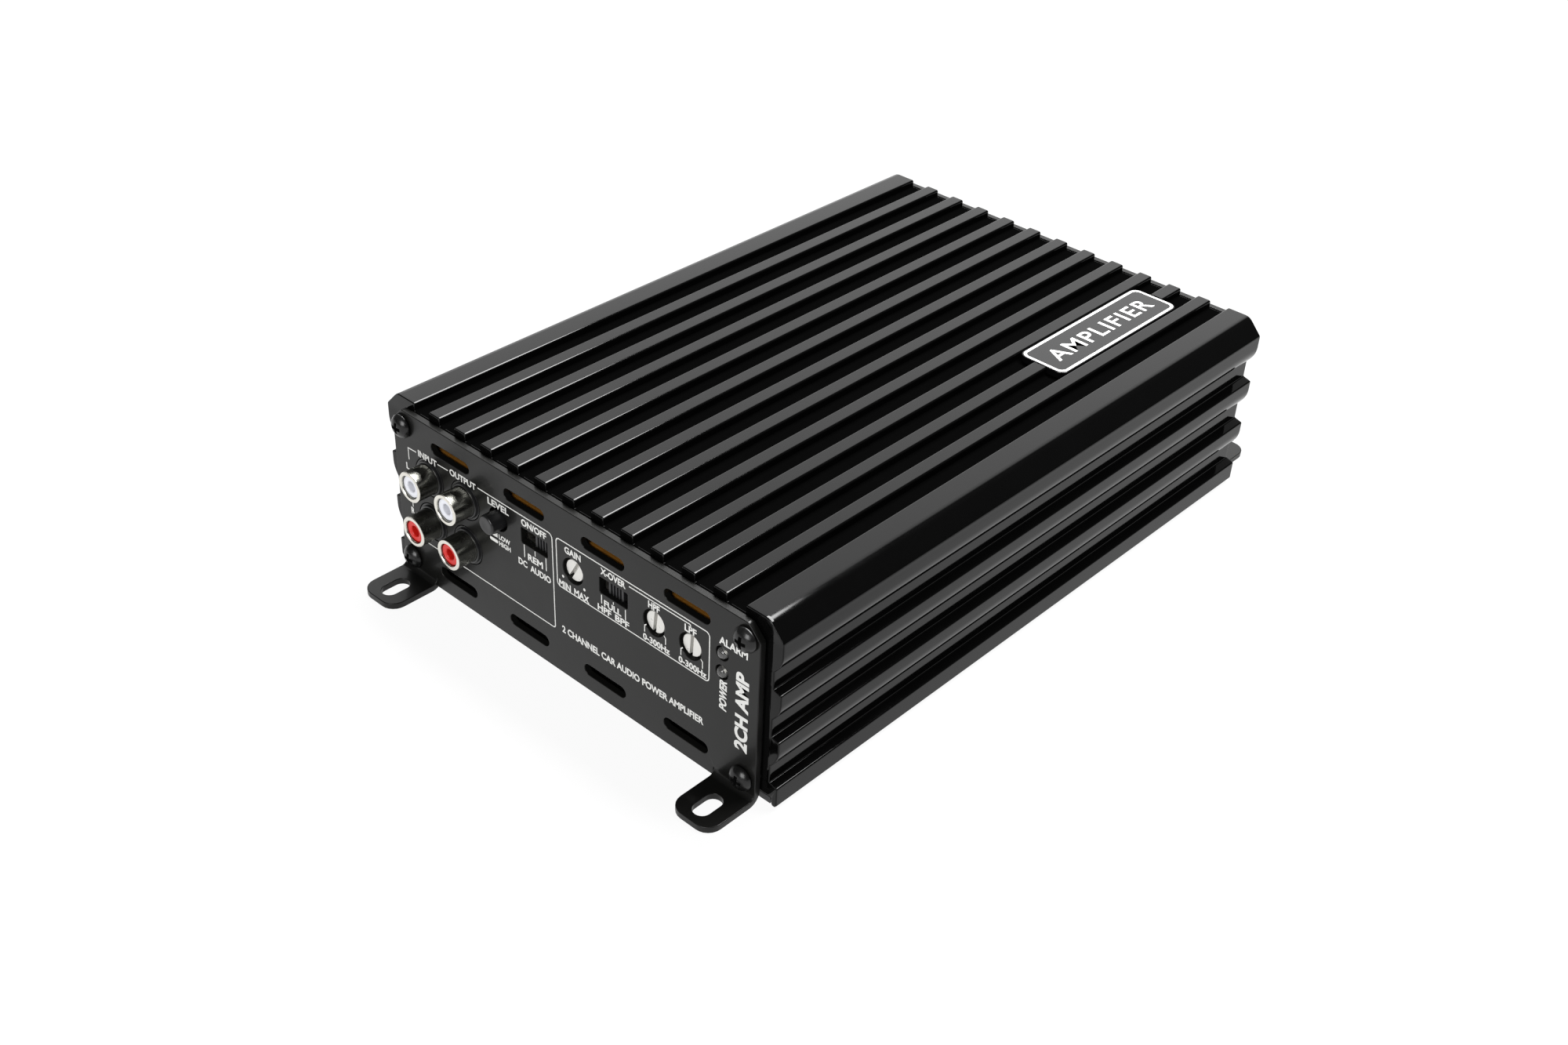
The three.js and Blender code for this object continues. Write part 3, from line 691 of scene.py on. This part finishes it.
# ---- printing ---------------------------------------------------------------
class Ink:
    """Letters and lines in a plane, u to the right and v up, a hair thick."""

    def __init__(self, thick=PRINT):
        self.parts = []
        self.thick = thick

    def line(self, points, width=0.3):
        left, other = [], []
        n = len(points)
        for i, p in enumerate(points):
            p = Vector(p)
            e1 = (p - Vector(points[i - 1])).normalized() if i else None
            e2 = (Vector(points[i + 1]) - p).normalized() if i < n - 1 else None
            e1, e2 = e1 or e2, e2 or e1
            n1, n2 = Vector((-e1.y, e1.x)), Vector((-e2.y, e2.x))
            m = (n1 + n2) / max(0.3, 1 + n1.dot(n2)) * width / 2
            left.append(tuple(p + m))
            other.append(tuple(p - m))
        self.parts.append(slab(other + left[::-1], [], 0, self.thick, 0))

    def ring(self, outer, inner):
        self.parts.append(slab(outer, [inner], 0, self.thick, 0))

    def disc(self, u, v, r):
        self.parts.append(slab(circle(u, v, r, 20), [], 0, self.thick, 0))

    def text(self, body, u0, u1, v0, v1, bold=0.032, lean=0.0, turn=False, track=1.0):
        """Fits the words into a box; turn makes them read upward."""
        cu = bpy.data.curves.new("words", "FONT")
        cu.body = body
        cu.size = 1.0
        cu.resolution_u = 4
        cu.offset = bold
        cu.extrude = 0.5
        cu.shear = lean
        cu.space_character = track
        ob = bpy.data.objects.new("words", cu)
        scene.collection.objects.link(ob)
        deps = bpy.context.evaluated_depsgraph_get()
        me = bpy.data.meshes.new_from_object(ob.evaluated_get(deps))
        bm = bmesh.new()
        bm.from_mesh(me)
        bpy.data.objects.remove(ob)
        bpy.data.curves.remove(cu)
        bpy.data.meshes.remove(me)
        bmesh.ops.remove_doubles(bm, verts=bm.verts[:], dist=1e-5)
        xs = [v.co.x for v in bm.verts]
        ys = [v.co.y for v in bm.verts]
        for v in bm.verts:
            a = (v.co.x - min(xs)) / (max(xs) - min(xs))
            b = (v.co.y - min(ys)) / (max(ys) - min(ys))
            w = self.thick * (v.co.z + 0.5)
            if turn:
                v.co = (u1 - b * (u1 - u0), v0 + a * (v1 - v0), w)
            else:
                v.co = (u0 + a * (u1 - u0), v0 + b * (v1 - v0), w)
        bmesh.ops.recalc_face_normals(bm, faces=bm.faces[:])
        self.parts.append(bm)

    def on(self, name, place, material):
        bm = merged(*self.parts)
        for v in bm.verts:
            v.co = place(*v.co)
        bmesh.ops.recalc_face_normals(bm, faces=bm.faces[:])
        return piece(name, bm, material, weighted=False, sharp=30)


# Words: left and right end, middle height, height of the letters.
WORDS = (
    ("INPUT", -53.5, -46.2, 40.4, 1.95),
    ("OUTPUT", -41.2, -31.3, 40.8, 1.95),
    ("L", -58.9, -57.7, 34.3, 1.95),
    ("R", -58.5, -57.1, 20.9, 1.95),
    ("LEVEL", -27.0, -19.2, 39.4, 1.95),
    ("LOW", -23.5, -19.3, 30.4, 1.45),
    ("HIGH", -23.5, -19.2, 28.5, 1.45),
    ("ON/OFF", -14.7, -5.8, 39.3, 1.95),
    ("REM", -12.8, -7.4, 30.0, 1.95),
    ("DC", -16.4, -13.2, 27.2, 1.95),
    ("AUDIO", -12.1, -4.7, 27.0, 1.95),
    ("GAIN", 0.6, 6.2, 39.2, 1.95),
    ("MIN", -1.7, 2.4, 28.5, 1.95),
    ("MAX", 3.6, 8.8, 28.5, 1.95),
    ("X-OVER", 12.9, 21.2, 39.6, 1.95),
    ("FULL", 13.9, 19.7, 30.8, 1.8),
    ("HPF", 11.7, 16.3, 28.7, 1.8),
    ("BPF", 17.6, 22.3, 28.7, 1.8),
    ("HPF", 28.6, 32.3, 38.7, 1.95),
    ("LPF", 40.2, 43.9, 38.7, 1.95),
    ("0-300Hz", 26.9, 35.6, 28.7, 1.8),
    ("0-300Hz", 38.4, 47.2, 28.7, 1.8),
    ("ALARM", 50.8, 59.4, 41.3, 2.1),
    ("2 CHANNEL CAR AUDIO POWER AMPLIFIER", -1.2, 46.5, 14.8, 2.1),
)
ink = Ink()
for word, left, right, middle, tall in WORDS:
    ink.text(word, left, right, middle - tall / 2, middle + tall / 2)
ink.text("POWER", 51.2, 53.5, 22.0, 30.5, bold=0.035, lean=0.2, turn=True)
ink.text("2CH AMP", 56.1, 60.1, 13.7, 35.8, bold=0.042, turn=True)
# The box round the signal inputs, broken where words and jacks stand.
ink.line([(-57.5, 36.6), (-57.5, 40.1), (-54.3, 40.2)])
ink.line([(-57.6, 24.6), (-57.6, 22.3)])
ink.line([(-45.9, 40.6), (-41.9, 40.7)])
ink.line(fillet([(-30.6, 41.1), (-3.7, 41.1), (-3.7, 13.5), (-57.5, 13.5), (-57.5, 18.9)],
                [0, 1.3, 0.8, 0.8, 0], closed=False))
# The box round the filter controls, with a line from the switch to both filters.
ink.ring(rounded_box(-2.45, 48.1, 27.2, 41.3, 1.3), rounded_box(-2.15, 47.8, 27.5, 41.0, 1.0))
ink.line(fillet([(22.4, 40.1), (42.07, 40.25), (42.07, 39.5)], [0, 0.4, 0], closed=False))
ink.line([(30.44, 40.2), (30.44, 39.5)])
for x, high, low in ((-14.0, 32.9, 29.2), (-10.1, 32.9, 31.4), (-6.2, 32.9, 29.2),
                     (13.1, 32.7, 30.2), (17.1, 32.7, 32.0), (21.1, 32.7, 29.5)):
    ink.line([(x, high), (x, low)], 0.28)
ink.disc(-0.2, 30.9, 0.38)
ink.disc(7.2, 30.9, 0.38)
for cx in (30.82, 42.5):
    for s in (-1, 1):
        ink.line([(cx + s * 3.4, 30.05), (cx + s * 3.38, 31.9), (cx + s * 2.85, 32.4)], 0.27)
# Small pictures of the button, out and in.
ink.parts.append(slab([(-25.9, 29.75), (-23.95, 29.75), (-23.95, 31.1)], [], 0, PRINT, 0))
ink.parts.append(slab(rounded_box(-26.9, -23.9, 28.0, 28.95, 0.4), [], 0, PRINT, 0))
ink.on("panel_print", lambda u, v, w: (u, FRONT - PROUD + (PRINT - w), v), "print")

rear = Ink()
for i, word in enumerate(("GND", "REM", "BATT+", "L+", "L-", "R+", "R-")):
    x = -(BLOCK_X + (i - (WAYS - 1) / 2) * WAY_PITCH)
    w = 0.72 * len(word)
    rear.text(word, x - w, x + w, 39.0, 40.8)
rear.text("FUSE", -44.2, -35.8, 38.6, 40.6)
rear.text("POWER", -3.6, 8.0, 13.6, 15.6)
rear.on("rear_print", lambda u, v, w: (-u, PLATE_OUT + PROUD - (PRINT - w), v), "print")

# ---- badge plate ------------------------------------------------------------
x0, x1, y0, y1 = BADGE
badge = slab(rounded_box(x0, x1, y0, y1, 2.6, 8), [], FLOOR + 0.3, TOP - 0.03, 0.25, 4)
piece("badge", badge, "badge", "badge_plate")
BADGE_INK = 0.06
mark = Ink(BADGE_INK)
mark.ring(rounded_box(y0 + 0.4, y1 - 0.4, -x1 + 0.4, -x0 - 0.4, 2.3, 8),
          rounded_box(y0 + 1.2, y1 - 1.2, -x1 + 1.2, -x0 - 1.2, 1.6, 8))
cx = (x0 + x1) / 2
mark.text("AMPLIFIER", y0 + 5.0, y1 - 4.6, -cx - 2.65, -cx + 2.65, bold=0.008, track=1.14)
mark.on("badge_print", lambda u, v, w: (-v, u, TOP - BADGE_INK + w), "badge_print")


# ---- screws -----------------------------------------------------------------
def cross(x, z, top, depth, arm, width, taper=0.55):
    """A tapered cross-shaped cutter that goes from y = top to y = top + depth."""
    w, a = width / 2, arm
    loop = [(w, -a), (w, -w), (a, -w), (a, w), (w, w), (w, a), (-w, a), (-w, w), (-a, w),
            (-a, -w), (-w, -w), (-w, -a)]
    bm = bmesh.new()
    rows = []
    lead = 1.0
    for y, k in ((top - lead, 1.0), (top, 1.0), (top + depth, taper)):
        rows.append([bm.verts.new((x + u * k, y, z + v * k)) for u, v in loop])
    for near, far in zip(rows, rows[1:]):
        for i in range(len(loop)):
            j = (i + 1) % len(loop)
            bm.faces.new((near[i], near[j], far[j], far[i]))
    bm.faces.new(rows[0])
    bm.faces.new(rows[-1])
    bmesh.ops.recalc_face_normals(bm, faces=bm.faces[:])
    return bm


def case_screw():
    """A pan-head screw at the front end, on the axis X = Z = 0."""
    f = FRONT - 0.3
    head = [(0, f - 2.1), (0.9, f - 2.04), (1.7, f - 1.86), (2.35, f - 1.5), (2.85, f - 1.02),
            (3.15, f - 0.55), (3.27, f - 0.22), (3.22, f - 0.05), (3.05, f), (1.5, f)]
    thread = []
    for i in range(14):
        y = f + 0.6 + 0.75 * i
        thread += [(1.5, y), (1.22, y + 0.3)]
    bm = turned(head + thread + [(1.2, f + 11.4), (0, f + 11.4)], 0, 0, 40)
    return combine(bm, cross(0, 0, f - 2.2, 1.5, 1.75, 1.05))


order = [(x, z) for z in reversed(SCREW_Z) for x in (-SCREW_X, SCREW_X)]
for i, (x, z) in enumerate(order):
    for end in ("front", "rear"):
        bm = moved(case_screw(), x, 0, z)
        if end == "rear":
            bm = flipped(bm)
        piece(f"case_screw_{end}_{i + 1}", bm, "screw", f"{end}_screw_{i + 1}",
              sharp=38)

# ---- signal jacks -----------------------------------------------------------
inner_face = FRONT + SHEET + 0.3
body = block(-57, -28.5, inner_face, inner_face + 12, 14.2, HANG, 0.4, 0.6)
collars, bores = [], []
for x in JACK_X:
    for z in JACK_Z:
        collars.append(turned([(0, FRONT - 0.65), (4.5, FRONT - 0.65), (4.68, FRONT - 0.58),
                               (4.75, FRONT - 0.42), (4.75, FRONT + 0.05),
                               (5.18, FRONT + 0.05), (5.25, FRONT + 0.15),
                               (5.25, inner_face + 1), (0, inner_face + 1)],
                              x, z, 56))
        bores.append(turned([(0, FRONT - 2), (4.25, FRONT - 2), (4.25, FRONT + 9),
                             (0, FRONT + 9)], x, z, 56))
body = combine(body, merged(*collars), "UNION")
piece("jack_block", combine(body, merged(*bores)), "plastic", "jack_housing")
# Each jack has a plated shell with a brighter rim, a coloured insert and a contact.
spots = [(x, z) for z in JACK_Z for x in JACK_X]
for count, (x, z) in enumerate(spots, 1):
    a, b = FRONT - 6.3, FRONT + 8.7
    shell = [(3.08, a + 0.14), (3.22, a), (3.88, a), (4.06, a + 0.06), (4.15, a + 0.26),
             (4.15, b), (3.0, b), (3.0, a + 0.6)]
    barrel = piece(f"jack_barrel_{count}", turned(shell, x, z, 64), "barrel",
                   f"jack_shell_{count}")
    barrel.data.materials.append(MAT["chrome"])
    for p in barrel.data.polygons:
        if p.center.y < (a + 0.2) * MM:
            p.material_index = 1
    tint = "white" if z == JACK_Z[0] else "red"
    ring = [(1.4, a + 0.9), (1.5, a + 0.66), (1.75, a + 0.5), (2.75, a + 0.5),
            (2.88, a + 0.6), (2.88, b), (1.4, b)]
    piece(f"jack_core_{count}", turned(ring, x, z, 48), tint, f"jack_insert_{count}")
    tube = [(0.75, a + 4.2), (0.85, a + 4.05), (1.0, a + 4.05), (1.1, a + 4.2),
            (1.1, b - 0.4), (0.75, b - 0.4)]
    piece(f"jack_contact_{count}", turned(tube, x, z, 28), "gold")

# ---- level button -------------------------------------------------------------
bx, bz = BUTTON
cap = [(0, FRONT - 3.78), (1.2, FRONT - 3.82), (2.05, FRONT - 3.9), (2.3, FRONT - 3.86),
       (2.52, FRONT - 3.68), (2.62, FRONT - 3.4), (2.65, FRONT + 11.5), (0, FRONT + 11.5)]
piece("button_cap", turned(cap, bx, bz, 48), "plastic", "level_button", "level_button")


# ---- slide switch levers --------------------------------------------------------
def lever(name, x, z):
    """A slide switch's knob: a small block with a comb of ridges on its face."""
    w, h = 2.5, 1.9
    f = FRONT + 0.9
    ridges = [(-w, f + 5.8), (-w, f + 0.0)]
    for d in (-1.5, -0.5, 0.5, 1.5):
        ridges += [(d - 0.3, f), (d - 0.22, f + 0.55), (d + 0.22, f + 0.55), (d + 0.3, f)]
    ridges += [(w, f), (w, f + 5.8)]
    loop = fillet(ridges, 0.1, steps=3)
    bm = slab(loop, [], -h, h, 0.12, 3)
    for v in bm.verts:
        u, y, t = v.co
        v.co = (x + u, y, z + t)
    bmesh.ops.recalc_face_normals(bm, faces=bm.faces[:])
    piece(f"{name}_knob", bm, "lever", f"{name}_lever", f"{name}_lever")


# The mode switch rests at the right end of its travel.
lever("mode", MODE[0] + 2.0, MODE[1])
lever("crossover", CROSS[0], CROSS[1])

# ---- rotary control shafts --------------------------------------------------------
for name, x, angle in POTS:
    f = FRONT + 0.5
    bm = turned([(0, f), (2.55, f), (2.78, f + 0.08), (2.9, f + 0.3), (2.9, f + 8.5),
                 (0, f + 8.5)], 0, 0, 48)
    bm = combine(bm, block(-0.5, 0.5, f - 1, f + 1.4, -4, 4, 0, 0))
    bm.transform(Matrix.Rotation(math.radians(angle), 4, "Y"))
    piece(f"{name}_spindle", moved(bm, x, 0, POT_Z), "shaft", f"{name}_shaft",
          f"{name}_shaft")

# ---- indicator lamps --------------------------------------------------------------
# Each lamp has a domed lens, two leads up to the board and a small cup inside.
for i, name in enumerate(("alarm", "power")):
    z = LED_Z[i]
    back_y = FRONT + 4.6 + 3 * i
    dome = [(0, FRONT - 0.9)]
    for k in range(1, 9):
        t = math.pi / 2 * k / 8
        dome.append((1.5 * math.sin(t), FRONT + 0.6 - 1.5 * math.cos(t)))
    dome += [(1.5, back_y - 1), (1.75, back_y - 0.9), (1.75, back_y), (0, back_y)]
    piece(f"{name}_lens", turned(dome, LED_X, z, 36), "lens", f"{name}_led")
    legs = merged(*[block(LED_X + s - 0.28, LED_X + s + 0.28, back_y - 0.6, back_y - 0.05,
                          z - 0.4, HANG, 0.08, 0.08) for s in (-1, 1)])
    piece(f"{name}_leads", legs, "steel")
    cup = turned([(0.25, FRONT + 1.7), (0.85, FRONT + 1.2), (0.95, FRONT + 1.25),
                  (0.6, FRONT + 2.6), (0.25, FRONT + 2.6)], LED_X, z, 24)
    piece(f"{name}_cup", cup, "steel")

# ---- rear terminals -----------------------------------------------------------
face = PLATE_OUT + 1
for i in range(WAYS):
    x = BLOCK_X + (i - (WAYS - 1) / 2) * WAY_PITCH
    prof = [(0, 90), (1.75, 90), (1.9, 90.3)]
    for k in range(13):
        y = 90.6 + 0.8 * k
        prof += [(1.9, y), (1.6, y + 0.4)]
    prof += [(1.9, face + 1.9), (3.3, face + 2), (3.5, face + 2.2), (3.5, face + 3.5),
             (3.35, face + 3.85), (2.9, face + 4.1), (2.2, face + 4.2), (0, face + 4.2)]
    bm = turned(prof, x, TERMINAL_Z, 40)
    recess = flipped(cross(x, TERMINAL_Z, -(face + 4.2), 1.3, 2.3, 0.95, 0.7))
    bm = combine(bm, recess)
    name = f"terminal_screw_{i + 1}"
    piece(f"clamp_screw_{i + 1}", bm, "steel", name, name, sharp=38)

# ---- blade fuses ----------------------------------------------------------------
for i, x in enumerate(FUSE_X):
    shell = block(x - 2.6, x + 2.6, 90, PLATE_OUT + 3.6, FUSE_Z - 9.1, FUSE_Z + 9.1, 0.3, 0.5)
    grip = block(x - 2.0, x + 2.0, PLATE_OUT + 2.8, PLATE_OUT + 5.6, FUSE_Z - 9.6,
                 FUSE_Z + 9.6, 0.4, 0.6)
    bm = combine(shell, grip, "UNION")
    piece(f"fuse_body_{i + 1}", bm, "fuse", f"fuse_{i + 1}", f"fuse_{i + 1}")
    blades = merged(*[block(x - 0.33, x + 0.33, 83, 92, FUSE_Z + s * 6.4 - 2.6,
                            FUSE_Z + s * 6.4 + 2.6, 0.1, 0.3) for s in (-1, 1)])
    piece(f"fuse_blades_{i + 1}", blades, "steel", body=f"fuse_{i + 1}")

# ---- CAD pieces that keep their own shape ---------------------------------------
KEPT = {"bottom_cover": "cover", "main_board": "board", "level_switch": "steel",
        "mode_switch": "steel", "crossover_switch": "steel", "gain_pot": "steel",
        "highpass_pot": "steel", "lowpass_pot": "steel", "terminal_block": "plastic",
        "fuse_socket": "plastic", "toroid_coil": "copper", "storage_capacitor": "sleeve",
        "clamp_bar_left": "aluminium", "clamp_bar_right": "aluminium"}
KEPT.update({f"cover_screw_{i}": "screw" for i in range(1, 5)})
KEPT.update({f"transistor_{i}": "package" for i in range(1, 5)})
SOFT_EDGE = {"bottom_cover": 0.25, "terminal_block": 0.25, "fuse_socket": 0.25,
             "level_switch": 0.2, "mode_switch": 0.2, "crossover_switch": 0.2,
             "gain_pot": 0.2, "highpass_pot": 0.2, "lowpass_pot": 0.2,
             "clamp_bar_left": 0.3, "clamp_bar_right": 0.3, "main_board": 0.1}
for name, material in KEPT.items():
    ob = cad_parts[name]
    ob.data.materials.clear()
    ob.data.materials.append(MAT[material])
    if name in SOFT_EDGE:
        thin = ob.modifiers.new("join_flats", "DECIMATE")
        thin.decimate_type = "DISSOLVE"
        thin.angle_limit = math.radians(0.5)
        soft = ob.modifiers.new("soft_edges", "BEVEL")
        soft.width = SOFT_EDGE[name] * MM
        soft.segments = 2
        soft.limit_method = "ANGLE"
        soft.angle_limit = math.radians(35)
        soft.harden_normals = True


# ---- floor and light --------------------------------------------------------
def glowing(name, grey, glow, specular, roughness=0.5):
    """A matt grey material that also gives off an even white light."""
    m = bpy.data.materials.new(name)
    m.use_nodes = True
    shader = m.node_tree.nodes["Principled BSDF"]
    shader.inputs["Base Color"].default_value = (grey, grey, grey, 1)
    shader.inputs["Roughness"].default_value = roughness
    shader.inputs["Specular IOR Level"].default_value = specular
    shader.inputs["Emission Color"].default_value = (1, 1, 1, 1)
    shader.inputs["Emission Strength"].default_value = glow
    return m


FLOOR_HALF = 12.0   # metres
DOME = 9.0          # metres
floor_mesh = bpy.data.meshes.new("floor")
corners = [(sx * FLOOR_HALF, sy * FLOOR_HALF, 0)
           for sx, sy in ((-1, -1), (1, -1), (1, 1), (-1, 1))]
floor_mesh.from_pydata(corners, [], [(0, 1, 2, 3)])
floor_mesh.materials.append(glowing("paper", 0.05, 0.93, 0.1, 0.95))
floor = bpy.data.objects.new("floor", floor_mesh)
scene.collection.objects.link(floor)
# A pale dome stands behind everything; it is there for the eye only.
bm = bmesh.new()
bmesh.ops.create_uvsphere(bm, u_segments=48, v_segments=24, radius=DOME)
dome_mesh = mesh_of(bm)
dome_mesh.name = "backdrop"
dome_mesh.materials.append(glowing("pale_backdrop", 0.0, 0.95, 0.0))
backdrop = bpy.data.objects.new("backdrop", dome_mesh)
scene.collection.objects.link(backdrop)
backdrop.visible_glossy = False
backdrop.visible_diffuse = False
backdrop.visible_transmission = False
backdrop.visible_shadow = False


def softbox(name, at, aim, size, watts):
    """A flat white light at a place in metres, turned to face the aim."""
    data = bpy.data.lights.new(name, "AREA")
    data.shape = "RECTANGLE"
    data.size = size[0]
    data.size_y = size[1]
    data.energy = watts
    ob = bpy.data.objects.new(name, data)
    ob.location = at
    ob.rotation_euler = (Vector(aim) - Vector(at)).to_track_quat("-Z", "Y").to_euler()
    scene.collection.objects.link(ob)


# The key hangs above and behind the amplifier; the fill stands in front of it.
softbox("key", (0.08, 0.59, 1.35), (0.08, 0, 0), (1.5, 0.48), 62)
softbox("front_fill", (0.5, -1.5, 0.9), (0, 0, 0), (0.9, 0.9), 24)

world = bpy.data.worlds.new("studio")
scene.world = world
world.use_nodes = True
tree = world.node_tree
sky = tree.nodes["Background"]
sky.inputs["Color"].default_value = (1, 1, 1, 1)
# A dim room with one broad bright patch, behind and to the left: the gloss mirrors it.
toward = tree.nodes.new("ShaderNodeVectorMath")
toward.operation = "DOT_PRODUCT"
toward.inputs[1].default_value = Vector((-0.57, 0.66, 0.49)).normalized()
sight = tree.nodes.new("ShaderNodeTexCoord")
tree.links.new(sight.outputs["Generated"], toward.inputs[0])
patch = remap(tree, toward.outputs["Value"], (0.80, 0.93), (0.06, 1.72), smooth=True)
tree.links.new(patch, sky.inputs["Strength"])
